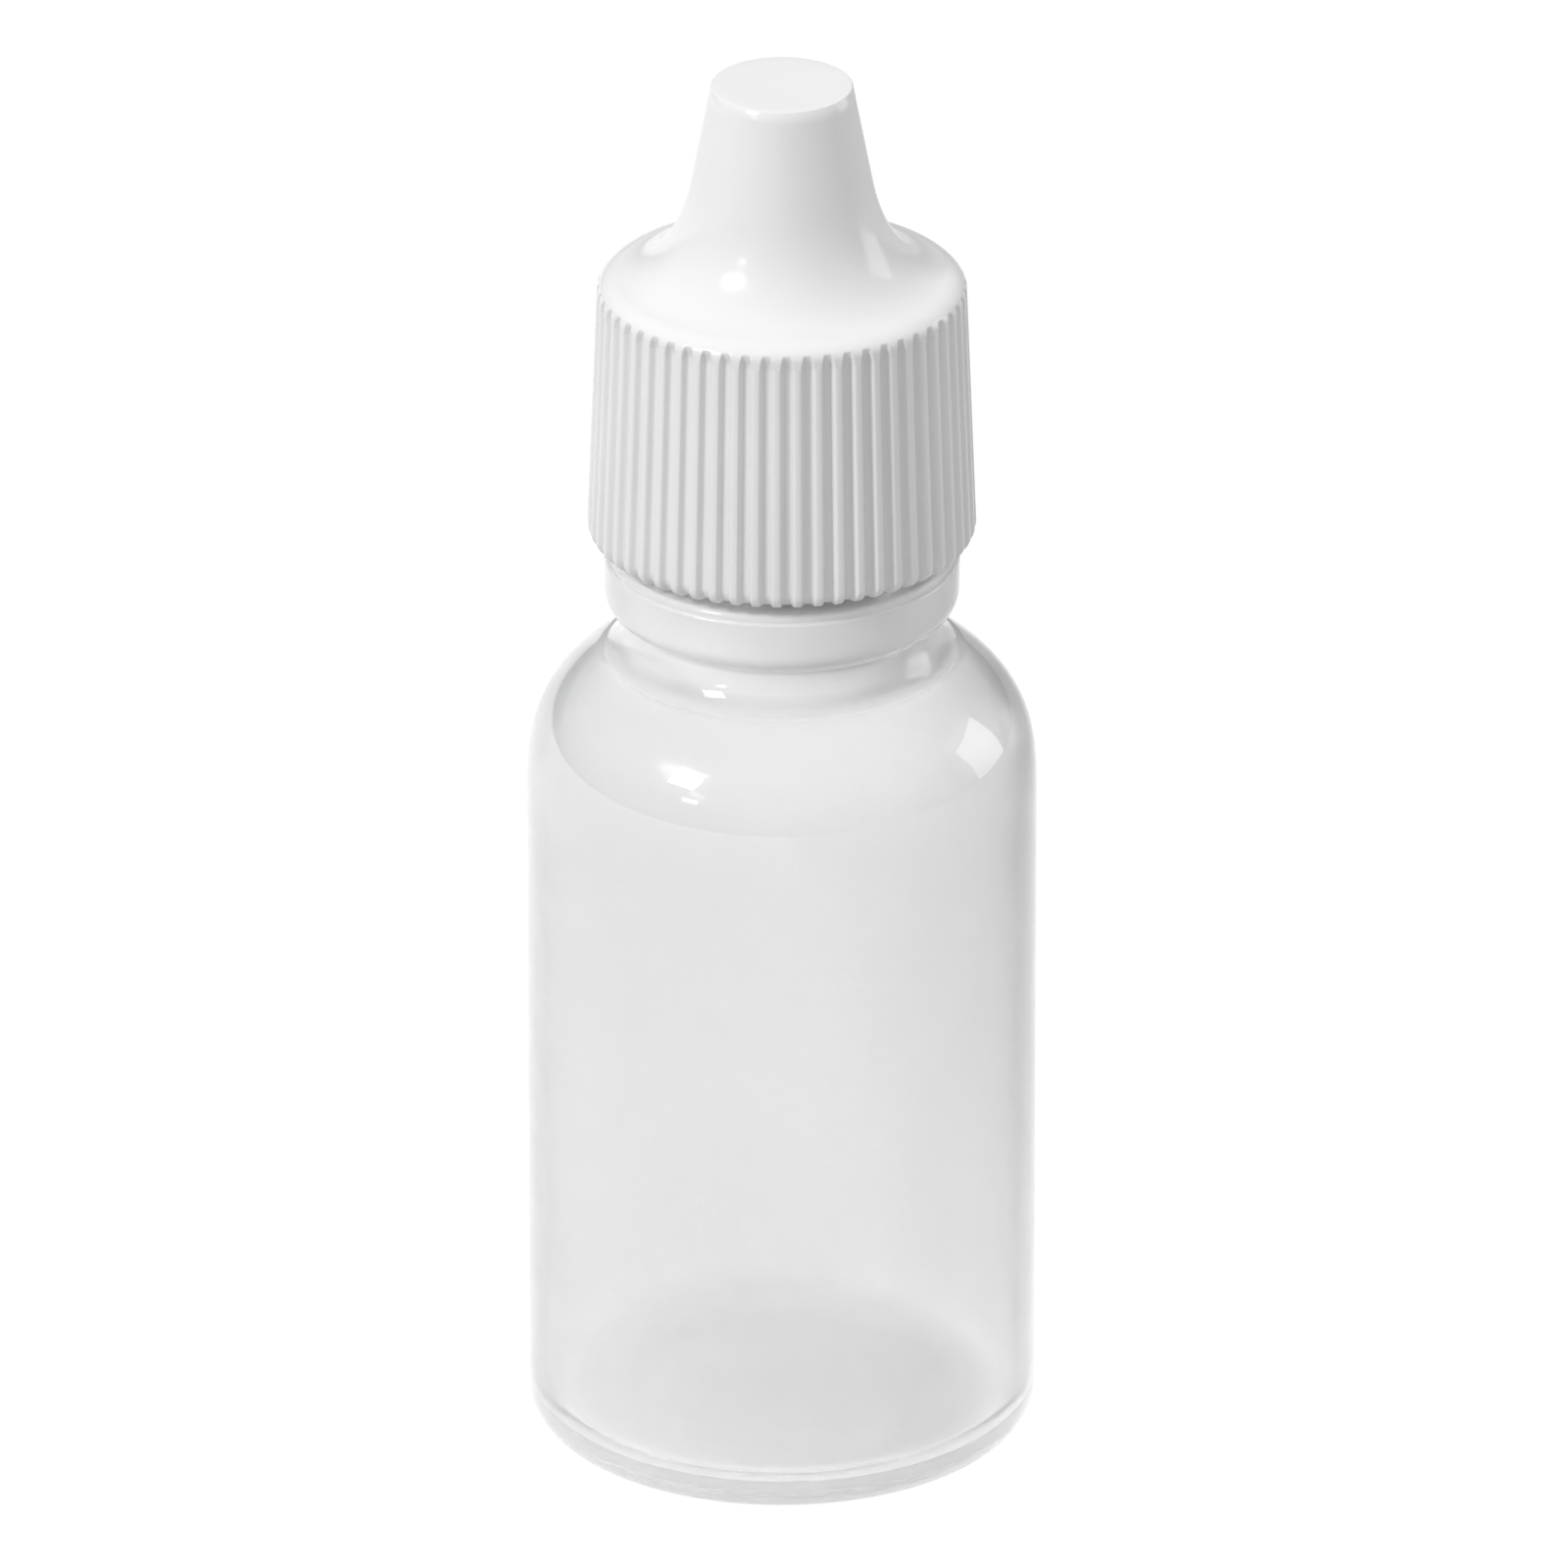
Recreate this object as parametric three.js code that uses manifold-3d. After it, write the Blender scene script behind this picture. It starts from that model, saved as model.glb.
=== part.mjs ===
// A 15 ml dropper bottle: a blow-moulded squeeze bottle, a dropper tip plugged into its neck and a
// ribbed screw cap with a spire. Millimetres, +Z up, origin at the middle of the base, on the surface
// the bottle stands on.
import * as THREE from 'three';
import { mergeVertices } from 'three/addons/utils/BufferGeometryUtils.js';
import Module from 'manifold-3d';

const wasm = await Module();
wasm.setup();

// ---------- driving dimensions ----------

const FACETS = 48;

// bottle
const BODY_RADIUS = 12.5;
const BODY_WALL = 1.0;
const BASE_CORNER = 1.6;
const BASE_THICKNESS = 1.2;
const INNER_CORNER = 1.4;
const PUSH_UP = 0.6;
const RING_INNER_RADIUS = 8.6;
const SHOULDER_START = 33.0;
const SHOULDER_HANDLES = [
  { r: 12.5, z: 36.6 },
  { r: 12.59, z: 38.65 },
];
const SHOULDER_END = { r: 8.757, z: 41.306 };
const SHOULDER_INSIDE = { r: 8.05, z: 40.475 };
const NECK_ROOT_RADIUS = 7.45;
const NECK_ROOT_FILLET = 3.0;
const NECK_ROOT_TOP = 43.77;
const NECK_ROOT_ARC = { start: 235.3, end: 190 };
const BEAD_RADIUS = 8.7;
const BEAD_BOTTOM = 43.45;
const BEAD_ROUND = 1.3;
const BEAD_EDGE = 0.14;
const BEAD_STEP = { r: 8.52, z: 46.42 };
const BEAD_TOP_EDGE = 0.25;
const BEAD_TOP = 46.8;
const RIM_TOP = 59.2;
const RIM_EDGE = 0.25;
const BORE_RADIUS = 4.75;
const BORE_BOTTOM = 43.4;
const BORE_LEAD_IN = { r: 0.3, z: 0.5 };

// 15-415 neck finish: single start right-hand thread, 12 turns to the inch
const THREAD_LEAD = 25.4 / 12;
const NECK_RADIUS = 6.5;
const NECK_THREAD_RADIUS = 7.25;
const NECK_THREAD_TURNS = 2;
const NECK_THREAD_TOP = 57.7;
const RIDGE_BASE = 1.15;
const RIDGE_CREST = 0.45;
const RIDGE_BURIED = 0.3;
const RIDGE_END = 0.1;
const THREAD_FADE = THREE.MathUtils.degToRad(40);
const THREAD_STEPS_PER_TURN = 36;

// dropper tip
const PLUG_BOTTOM = 50.2;
const PLUG_RADIUS = 4.5;
const PLUG_LEAD_IN = { r: 0.35, z: 1.0 };
const SEAL_RADIUS = 4.68;
const SEAL_HEIGHTS = [52.4, 54.6, 56.8];
const SEAL_HALF_HEIGHT = 0.35;
const PLUG_BORE = 3.6;
const PLUG_BORE_TOP = 59.4;
const PLUG_BORE_EDGE = { r: 0.2, z: 0.3 };
const FLANGE_RADIUS = 6.2;
const FLANGE_THICKNESS = 0.9;
const FLANGE_EDGE = 0.15;
const NOZZLE_BASE = { r: 3.3, z: 61.0 };
const NOZZLE_TOP = 68.4;
const NOZZLE_TOP_RADIUS = 1.75;
const NOZZLE_EDGE = { r: 0.3, z: 0.35 };
const ORIFICE_RADIUS = 0.45;
const ORIFICE_COUNTERSINK = 0.45;
const ORIFICE_BOTTOM = 66.3;
const NOZZLE_BORE_BASE = { r: 1.9, z: 61.2 };

// screw cap
const CAP_BOTTOM = 47.45;
const CAP_TOP = 71.27;
const SKIRT_BOTTOM_RADIUS = 9.49;
const SKIRT_TOP = { r: 9.01, z: 60.43 };
const SKIRT_EDGE = 0.8;
const CAP_SHOULDER = { r: 1.4, z: 0.85 };
const CAP_DOME_SLOPE = THREE.MathUtils.degToRad(10.75);
const CAP_DOME_REACH = 0.33;
const SPIRE_BASE = { r: 4.437, z: 66.1 };
const SPIRE_BLEND = 4.47;
const SPIRE_TOP_RADIUS = 3.447;
const SPIRE_EDGE = 0.1;
const CAP_BORE = 7.55;
const CAP_MOUTH_EDGE = 0.3;
const CAP_THREAD_RADIUS = 6.72;
const CAP_THREAD_TURNS = 1.75;
const CAP_CEILING = 60.35;
const CEILING_EDGE = 0.4;
const CHAMBER_MOUTH_RADIUS = 4.7;
const CHAMBER = [
  { r: 3.9, z: 62.0 },
  { r: 3.05, z: 66.0 },
  { r: 2.45, z: 69.6 },
];
const SPIRE_CEILING = 69.9;
const PIN = { rootRadius: 0.85, radius: 0.36, endRadius: 0.32, reach: 0.75, chamfer: 0.12 };
const RIBS = 56;
const RIB_DEPTH = 0.35;
const RIB_FADE = { start: 59.95, end: 60.78 };
const FRONT_RIB = THREE.MathUtils.degToRad(-91.6);

// clearances
const GAP = 0.05;
const THREAD_GAP = 0.12;

// ---------- outlines and solids ----------

const at = (r, z) => new THREE.Vector2(r, z);

// points along a circular or elliptical arc of an outline, angles in degrees from +r towards +z
function arc(r, z, radiusR, radiusZ, from, to, steps) {
  const points = [];
  for (let i = 0; i <= steps; i += 1) {
    const angle = THREE.MathUtils.degToRad(from + ((to - from) * i) / steps);
    points.push(at(r + radiusR * Math.cos(angle), z + radiusZ * Math.sin(angle)));
  }
  return points;
}

function bezier(a, b, c, d, steps) {
  return new THREE.CubicBezierCurve(a, b, c, d).getPoints(steps);
}

// a solid of revolution about Z from an outline that runs anticlockwise, r to the right and z up
function revolve(outline, facets = FACETS) {
  const distinct = outline.filter((p, i) => i === 0 || p.distanceTo(outline[i - 1]) > 1e-6);
  return new THREE.LatheGeometry(distinct, facets).rotateX(Math.PI / 2);
}

function toSolid(geometry) {
  const bare = geometry.clone();
  bare.deleteAttribute('normal');
  bare.deleteAttribute('uv');
  const merged = mergeVertices(bare, 1e-5);
  return new wasm.Manifold(
    new wasm.Mesh({
      numProp: 3,
      vertProperties: new Float32Array(merged.attributes.position.array),
      triVerts: new Uint32Array(merged.index.array),
    }),
  );
}

function toGeometry(solid) {
  const mesh = solid.getMesh();
  const geometry = new THREE.BufferGeometry();
  geometry.setAttribute('position', new THREE.BufferAttribute(mesh.vertProperties, 3));
  geometry.setIndex(new THREE.BufferAttribute(mesh.triVerts, 1));
  geometry.computeVertexNormals();
  return geometry;
}

// A thread ridge: a straight bar of trapezoid section, wound up a right-hand helix. Its height fades
// out at both ends. wall is the radius it grows from and crest the radius it reaches, inwards or outwards.
function threadRidge({ wall, crest, start, turns }) {
  const root = wall - Math.sign(crest - wall) * RIDGE_BURIED;
  const sweep = turns * 2 * Math.PI;
  const section = new THREE.Shape([
    at(0, -RIDGE_BASE / 2),
    at(Math.abs(crest - root), -RIDGE_CREST / 2),
    at(Math.abs(crest - root), RIDGE_CREST / 2),
    at(0, RIDGE_BASE / 2),
  ]);
  const bar = new THREE.ExtrudeGeometry(section, {
    depth: sweep,
    steps: Math.round(turns * THREAD_STEPS_PER_TURN),
    bevelEnabled: false,
  });
  const p = bar.attributes.position;
  const outward = crest > wall;
  for (let i = 0; i < p.count; i += 1) {
    const turn = outward ? sweep - p.getZ(i) : p.getZ(i);
    const full = Math.min(1, RIDGE_END + Math.min(turn, sweep - turn) / THREAD_FADE);
    const r = root + (outward ? 1 : -1) * p.getX(i) * full;
    const z = start + p.getY(i) + (THREAD_LEAD * turn) / (2 * Math.PI);
    p.setXYZ(i, r * Math.cos(turn), r * Math.sin(turn), z);
  }
  return bar;
}

// ---------- bottle ----------

function bottle() {
  const inner = BODY_RADIUS - BODY_WALL;
  const floor = PUSH_UP + BASE_THICKNESS;
  const outside = [
    at(0, PUSH_UP),
    ...bezier(at(2, PUSH_UP), at(5.5, PUSH_UP), at(7.5, 0.25), at(RING_INNER_RADIUS, 0), 5),
    ...arc(BODY_RADIUS - BASE_CORNER, BASE_CORNER, BASE_CORNER, BASE_CORNER, -90, 0, 4),
    ...bezier(
      at(BODY_RADIUS, SHOULDER_START),
      at(SHOULDER_HANDLES[0].r, SHOULDER_HANDLES[0].z),
      at(SHOULDER_HANDLES[1].r, SHOULDER_HANDLES[1].z),
      at(SHOULDER_END.r, SHOULDER_END.z),
      8,
    ),
    ...arc(
      NECK_ROOT_RADIUS + NECK_ROOT_FILLET,
      NECK_ROOT_TOP,
      NECK_ROOT_FILLET,
      NECK_ROOT_FILLET,
      NECK_ROOT_ARC.start - 8,
      NECK_ROOT_ARC.end,
      4,
    ),
    ...arc(
      NECK_ROOT_RADIUS,
      BEAD_BOTTOM + BEAD_ROUND,
      BEAD_RADIUS - NECK_ROOT_RADIUS,
      BEAD_ROUND,
      -78,
      0,
      3,
    ),
    ...arc(BEAD_RADIUS - BEAD_EDGE, BEAD_STEP.z - BEAD_EDGE, BEAD_EDGE, BEAD_EDGE, 0, 80, 2),
    at(BEAD_STEP.r, BEAD_TOP - BEAD_TOP_EDGE),
    at(BEAD_STEP.r - BEAD_TOP_EDGE, BEAD_TOP),
    at(NECK_RADIUS + RIM_EDGE, BEAD_TOP),
    at(NECK_RADIUS, BEAD_TOP + RIM_EDGE),
    at(NECK_RADIUS, RIM_TOP - RIM_EDGE),
    at(NECK_RADIUS - RIM_EDGE, RIM_TOP),
  ];
  const inside = [
    at(BORE_RADIUS + BORE_LEAD_IN.r, RIM_TOP),
    at(BORE_RADIUS, RIM_TOP - BORE_LEAD_IN.z),
    at(BORE_RADIUS, BORE_BOTTOM),
    ...bezier(
      at(BORE_RADIUS, BORE_BOTTOM - 1.2),
      at(BORE_RADIUS, BORE_BOTTOM - 2),
      at(BORE_RADIUS + 1.45, BORE_BOTTOM - 2.1),
      at(SHOULDER_INSIDE.r - 0.15, SHOULDER_INSIDE.z + 0.075),
      4,
    ),
    ...bezier(
      at(SHOULDER_INSIDE.r + 0.15, SHOULDER_INSIDE.z - 0.075),
      at(inner - 0.6, SHOULDER_HANDLES[1].z + 0.11),
      at(inner, SHOULDER_HANDLES[0].z + 0.18),
      at(inner, SHOULDER_START),
      6,
    ),
    ...arc(inner - INNER_CORNER, BASE_THICKNESS + INNER_CORNER, INNER_CORNER, INNER_CORNER, 0, -90, 3),
    ...bezier(
      at(inner - INNER_CORNER - 0.3, BASE_THICKNESS),
      at(8, BASE_THICKNESS + 0.05),
      at(5, floor),
      at(2, floor),
      4,
    ),
    at(0, floor),
  ];
  const shell = toSolid(revolve([...outside, ...inside]));
  const thread = threadRidge({
    wall: NECK_RADIUS,
    crest: NECK_THREAD_RADIUS,
    start: NECK_THREAD_TOP - NECK_THREAD_TURNS * THREAD_LEAD,
    turns: NECK_THREAD_TURNS,
  });
  return toGeometry(shell.add(toSolid(thread)));
}

// ---------- dropper tip ----------

function sealBead(z) {
  return [
    at(PLUG_RADIUS, z - SEAL_HALF_HEIGHT),
    at(SEAL_RADIUS, z),
    at(PLUG_RADIUS, z + SEAL_HALF_HEIGHT),
  ];
}

function dropperTip() {
  const flangeBottom = RIM_TOP + GAP;
  const flangeTop = flangeBottom + FLANGE_THICKNESS;
  const outside = [
    at(PLUG_RADIUS - PLUG_LEAD_IN.r, PLUG_BOTTOM),
    at(PLUG_RADIUS, PLUG_BOTTOM + PLUG_LEAD_IN.z),
    ...SEAL_HEIGHTS.flatMap(sealBead),
    at(PLUG_RADIUS, flangeBottom - 0.5),
    at(PLUG_RADIUS + 0.1, flangeBottom),
    at(FLANGE_RADIUS, flangeBottom),
    at(FLANGE_RADIUS, flangeTop - FLANGE_EDGE),
    at(FLANGE_RADIUS - FLANGE_EDGE, flangeTop),
    ...bezier(
      at(NOZZLE_BASE.r + 0.7, flangeTop),
      at(NOZZLE_BASE.r + 0.2, flangeTop),
      at(NOZZLE_BASE.r + 0.1, NOZZLE_BASE.z - 0.5),
      at(NOZZLE_BASE.r, NOZZLE_BASE.z),
      3,
    ),
    at(NOZZLE_TOP_RADIUS, NOZZLE_TOP - NOZZLE_EDGE.z),
    at(NOZZLE_TOP_RADIUS - NOZZLE_EDGE.r, NOZZLE_TOP),
  ];
  const inside = [
    at(ORIFICE_RADIUS + ORIFICE_COUNTERSINK, NOZZLE_TOP),
    at(ORIFICE_RADIUS, NOZZLE_TOP - ORIFICE_COUNTERSINK),
    at(ORIFICE_RADIUS, ORIFICE_BOTTOM),
    at(NOZZLE_BORE_BASE.r, NOZZLE_BORE_BASE.z),
    at(PLUG_BORE, PLUG_BORE_TOP),
    at(PLUG_BORE, PLUG_BOTTOM + PLUG_BORE_EDGE.z),
    at(PLUG_BORE + PLUG_BORE_EDGE.r, PLUG_BOTTOM),
    at(PLUG_RADIUS - PLUG_LEAD_IN.r, PLUG_BOTTOM),
  ];
  return revolve([...outside, ...inside]);
}

// ---------- screw cap ----------

// The skirt and spire outline. Every facet edge on a groove is pulled in by the rib depth, which fades
// out on the shoulder, so the ribs end in points there and run off the bottom edge.
function capOutside() {
  const edge = SKIRT_EDGE;
  const lean = (SPIRE_BASE.r - SPIRE_TOP_RADIUS) / (CAP_TOP - SPIRE_BASE.z);
  const draft = (SKIRT_BOTTOM_RADIUS - SKIRT_TOP.r) / (SKIRT_TOP.z - CAP_BOTTOM - edge);
  const taper = Math.atan(lean);
  const shoulderTurn = Math.atan2(CAP_SHOULDER.z, CAP_SHOULDER.r * Math.tan(CAP_DOME_SLOPE));
  const shoulder = arc(
    SKIRT_TOP.r - CAP_SHOULDER.r,
    SKIRT_TOP.z,
    CAP_SHOULDER.r,
    CAP_SHOULDER.z,
    10,
    THREE.MathUtils.radToDeg(shoulderTurn),
    3,
  );
  const crown = shoulder[shoulder.length - 1];
  const midFade = (RIB_FADE.start + RIB_FADE.end) / 2;
  const outline = [
    at(0, CAP_BOTTOM),
    at(CAP_BORE + CAP_MOUTH_EDGE, CAP_BOTTOM),
    ...arc(SKIRT_BOTTOM_RADIUS - edge, CAP_BOTTOM + edge, edge, edge, -90, 0, 3),
    at(SKIRT_TOP.r + draft * (SKIRT_TOP.z - RIB_FADE.start), RIB_FADE.start),
    at(SKIRT_TOP.r + draft * (SKIRT_TOP.z - midFade), midFade),
    ...shoulder.slice(0, -1),
    ...bezier(
      crown,
      at(
        crown.x - CAP_DOME_REACH * Math.cos(CAP_DOME_SLOPE),
        crown.y + CAP_DOME_REACH * Math.sin(CAP_DOME_SLOPE),
      ),
      at(SPIRE_BASE.r + SPIRE_BLEND * Math.sin(taper), SPIRE_BASE.z - SPIRE_BLEND * Math.cos(taper)),
      at(SPIRE_BASE.r, SPIRE_BASE.z),
      6,
    ),
    ...arc(SPIRE_TOP_RADIUS - SPIRE_EDGE, CAP_TOP - SPIRE_EDGE, SPIRE_EDGE, SPIRE_EDGE, 0, 90, 2),
    at(0, CAP_TOP),
  ];
  const geometry = revolve(outline, 2 * RIBS);
  const p = geometry.attributes.position;
  for (let i = 0; i < p.count; i += 1) {
    const r = Math.hypot(p.getX(i), p.getY(i));
    const z = p.getZ(i);
    const angle = Math.atan2(p.getY(i), p.getX(i));
    const facet = Math.round((angle / (2 * Math.PI)) * 2 * RIBS);
    const fade = THREE.MathUtils.clamp((RIB_FADE.end - z) / (RIB_FADE.end - RIB_FADE.start), 0, 1);
    const grooved = facet % 2 !== 0 && r > CAP_BORE + CAP_MOUTH_EDGE;
    const depth = grooved ? RIB_DEPTH * (1 - (1 - fade) ** 2) : 0;
    p.setX(i, p.getX(i) * (1 - depth / Math.max(r, 1)));
    p.setY(i, p.getY(i) * (1 - depth / Math.max(r, 1)));
  }
  return geometry.rotateZ(FRONT_RIB);
}

// The hollow: open below, a flat ceiling over the tip's flange, a tapered chamber round the nozzle and
// a pin that stops the nozzle's hole.
function capInside() {
  const below = CAP_BOTTOM - 1;
  const pinEnd = NOZZLE_TOP - PIN.reach;
  const outline = [
    at(0, below),
    at(CAP_BORE + CAP_MOUTH_EDGE, below),
    at(CAP_BORE + CAP_MOUTH_EDGE, CAP_BOTTOM),
    at(CAP_BORE, CAP_BOTTOM + CAP_MOUTH_EDGE),
    at(CAP_BORE, CAP_CEILING - CEILING_EDGE),
    at(CAP_BORE - CEILING_EDGE, CAP_CEILING),
    at(CHAMBER_MOUTH_RADIUS, CAP_CEILING),
    ...bezier(
      at(CHAMBER_MOUTH_RADIUS - 0.3, CAP_CEILING + 0.1),
      at(CHAMBER[0].r + 0.3, CHAMBER[0].z - 1.3),
      at(CHAMBER[0].r + 0.15, CHAMBER[0].z - 0.7),
      at(CHAMBER[0].r, CHAMBER[0].z),
      2,
    ),
    ...CHAMBER.slice(1).map(({ r, z }) => at(r, z)),
    at(CHAMBER[2].r - 0.3, SPIRE_CEILING),
    at(PIN.rootRadius, SPIRE_CEILING),
    at(PIN.radius, NOZZLE_TOP + 0.3),
    at(PIN.endRadius, pinEnd + PIN.chamfer),
    at(PIN.endRadius - PIN.chamfer, pinEnd),
    at(0, pinEnd),
  ];
  return revolve(outline);
}

function screwCap() {
  const start = NECK_THREAD_TOP - NECK_THREAD_TURNS * THREAD_LEAD;
  const nearNeck = NECK_THREAD_RADIUS - (CAP_THREAD_RADIUS + NECK_THREAD_RADIUS) / 2;
  const slope = (RIDGE_BASE - RIDGE_CREST) / 2 / (NECK_THREAD_RADIUS - NECK_RADIUS);
  const overlapWidth = RIDGE_CREST + 2 * slope * nearNeck;
  const below = overlapWidth + THREAD_GAP;
  const thread = threadRidge({
    wall: CAP_BORE,
    crest: CAP_THREAD_RADIUS,
    start: start - below,
    turns: CAP_THREAD_TURNS,
  });
  const shell = toSolid(capOutside()).subtract(toSolid(capInside()));
  return toGeometry(shell.add(toSolid(thread)));
}

// ---------- the assembly ----------

const naturalPlastic = new THREE.MeshStandardMaterial({
  color: 0xe4e5e6,
  roughness: 0.2,
  metalness: 0,
  transparent: true,
  opacity: 0.45,
});
const tipPlastic = new THREE.MeshStandardMaterial({
  color: 0xeceded,
  roughness: 0.3,
  metalness: 0,
  transparent: true,
  opacity: 0.7,
});
const whitePlastic = new THREE.MeshStandardMaterial({ color: 0xf4f4f4, roughness: 0.25, metalness: 0 });

function named(name, geometry, material) {
  const mesh = new THREE.Mesh(geometry, material);
  mesh.name = name;
  return mesh;
}

const dropperBottle = new THREE.Group();
dropperBottle.add(named('bottle', bottle(), naturalPlastic));
dropperBottle.add(named('dropper_tip', dropperTip(), tipPlastic));
dropperBottle.add(named('screw_cap', screwCap(), whitePlastic));

export default dropperBottle;
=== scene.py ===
"""Looks of the dropper bottle: fine meshes, plastics, stage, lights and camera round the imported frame.

Outlines are in millimetres and a mesh is scaled to metres when it is made. +Z is up along the
bottle's axis, the origin is in the middle of the base, and the reference view looks along +Y.
"""
import math

import bpy
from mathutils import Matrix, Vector


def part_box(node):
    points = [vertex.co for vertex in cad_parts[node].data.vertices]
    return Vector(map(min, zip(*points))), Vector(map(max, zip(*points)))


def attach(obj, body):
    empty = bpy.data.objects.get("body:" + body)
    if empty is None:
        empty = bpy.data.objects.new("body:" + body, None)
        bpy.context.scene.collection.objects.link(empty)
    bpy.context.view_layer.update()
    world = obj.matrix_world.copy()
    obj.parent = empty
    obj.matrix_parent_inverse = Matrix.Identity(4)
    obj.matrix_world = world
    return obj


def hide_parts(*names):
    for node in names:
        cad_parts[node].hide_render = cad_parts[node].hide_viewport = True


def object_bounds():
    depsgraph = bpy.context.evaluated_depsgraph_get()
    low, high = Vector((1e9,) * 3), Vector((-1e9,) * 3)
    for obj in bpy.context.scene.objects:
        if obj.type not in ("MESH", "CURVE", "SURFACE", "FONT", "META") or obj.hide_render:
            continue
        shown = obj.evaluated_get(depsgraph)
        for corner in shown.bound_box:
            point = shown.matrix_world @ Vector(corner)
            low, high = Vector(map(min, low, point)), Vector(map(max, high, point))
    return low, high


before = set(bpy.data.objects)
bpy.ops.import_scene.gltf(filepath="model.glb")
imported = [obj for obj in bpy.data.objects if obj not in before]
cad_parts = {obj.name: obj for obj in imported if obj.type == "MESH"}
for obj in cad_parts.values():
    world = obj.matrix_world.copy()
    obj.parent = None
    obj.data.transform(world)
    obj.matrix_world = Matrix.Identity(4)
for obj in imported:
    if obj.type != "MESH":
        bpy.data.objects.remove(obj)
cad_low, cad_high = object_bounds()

MM = 0.001
SAME_POINT = 1e-3
ON_WALL = 1e-6
SHARP_ANGLE = math.radians(50)

# ---------- dimensions: those the frame states, then the outline's own ----------

bottle_low, bottle_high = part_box("bottle")
tip_low, tip_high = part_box("dropper_tip")
cap_low, cap_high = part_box("screw_cap")

BODY_RADIUS = bottle_high[0] / MM
RIM_TOP = bottle_high[2] / MM
PLUG_BOTTOM = tip_low[2] / MM
NOZZLE_TOP = tip_high[2] / MM
FLANGE_RADIUS = tip_high[0] / MM
CAP_BOTTOM = cap_low[2] / MM
CAP_TOP = cap_high[2] / MM

BODY_WALL = 1.0
BASE_CORNER = 1.6
BASE_THICKNESS = 1.2
INNER_CORNER = 1.4
PUSH_UP = 0.6
PUSH_UP_HANDLES = ((5.5, PUSH_UP), (7.5, 0.25))
RING_INNER_RADIUS = 8.6
SHOULDER_START = 33.0
SHOULDER_HANDLES = ((12.5, 36.6), (12.59, 38.65))
SHOULDER_END = (8.757, 41.306)
SHOULDER_INSIDE = (8.05, 40.475)
NECK_ROOT_RADIUS = 7.45
NECK_ROOT_FILLET = 3.0
NECK_ROOT_TOP = 43.77
NECK_ROOT_SWEEP = (180 + 55.3, 180 + 10)
BEAD_RADIUS = 8.7
BEAD_BOTTOM = 43.45
BEAD_ROUND = 1.3
BEAD_EDGE = 0.14
BEAD_STEP = (8.52, 46.42)
BEAD_TOP_EDGE = 0.25
BEAD_TOP = 46.8
RIM_EDGE = 0.25
RIM_CHAMFER = (0.3, 0.5)
BORE_RADIUS = 4.75
BORE_BOTTOM = 43.4
BORE_FLARE = (1.45, 2.1)
BOTTLE_AROUND = 192

THREAD_LEAD = 25.4 / 12
NECK_RADIUS = 6.5
NECK_THREAD_RADIUS = 7.25
NECK_THREAD_TURNS = 2
NECK_THREAD_START = 57.7 - NECK_THREAD_TURNS * THREAD_LEAD
NECK_THREAD_ZONE = (52.8, 58.4)
RIDGE_BASE = 1.15
RIDGE_CREST = 0.45
THREAD_FADE = math.radians(40)

PLUG_RADIUS = 4.5
SEAL_RADIUS = 4.68
SEAL_HEIGHTS = (52.4, 54.6, 56.8)
SEAL_HALF_HEIGHT = 0.45
PLUG_BORE = 3.6
PLUG_BORE_TOP = 58.9
PLUG_MOUTH = (0.25, 0.3)
FLANGE_THICKNESS = 0.9
FLANGE_ROOT = 0.5
FLANGE_EDGES = (0.15, 0.2)
NOZZLE_BASE = (3.3, 61.0)
NOZZLE_TOP_RADIUS = 1.75
NOZZLE_LIP = 0.45
COUNTERSINK = (0.98, 0.5)
ORIFICE_RADIUS = 0.45
ORIFICE_BOTTOM = 66.3
NOZZLE_BORE_BASE = (1.9, 61.2)
TIP_AROUND = 96

SKIRT_BOTTOM_RADIUS = 9.49
SKIRT_TOP = (9.01, 60.43)
SKIRT_EDGE = 0.8
CAP_SHOULDER = (1.4, 0.85)
CAP_DOME_SLOPE = 10.75
CAP_DOME_REACH = 0.33
SPIRE_BASE = (4.437, 66.1)
SPIRE_BLEND = 4.47
SPIRE_TOP_RADIUS = 3.447
SPIRE_EDGE = 0.08
CAP_BORE = 7.55
CAP_MOUTH_EDGE = 0.3
CAP_OUTSIDE = CAP_BORE + 0.5
CAP_THREAD_RADIUS = 6.72
CAP_THREAD_TURNS = 1.75
CAP_THREAD_ZONE = (51.8, 57.1)
CAP_THREAD_DROP = 0.88
CAP_CEILING = 60.35
CEILING_EDGE = 0.4
CHAMBER_MOUTH_RADIUS = 4.7
CHAMBER = ((3.9, 62.0), (3.05, 66.0), (2.45, 69.6))
SPIRE_CEILING = 69.9
PIN_REACH = 0.75
PIN_FLAT_RADIUS = 0.14
PIN_RADIUS = 0.32
PIN_TIP_HEIGHT = 0.18
PIN_WAIST = (0.36, NOZZLE_TOP + 0.3)
PIN_ROOT_RADIUS = 0.85
RIBS = 56
RIB_DEPTH = 0.35
RIB_CREST = 0.15
RIB_FLANK = 0.2
RIB_PLACES = (0, 0.13, 0.18, 0.23, 0.27, 0.32, 0.37, 0.5, 0.63, 0.68, 0.73, 0.77, 0.82, 0.87)
RIB_FADE = (59.95, 60.78)
FRONT_RIB = math.radians(-91.6)

GAP = 0.05


# ---------- outlines: lists of (r, z) with the solid on the left of the way along ----------

def line(a, b, steps=1):
    """Evenly spaced points from a to b."""
    r, z = b[0] - a[0], b[1] - a[1]
    return [(a[0] + r * i / steps, a[1] + z * i / steps) for i in range(steps + 1)]


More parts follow.
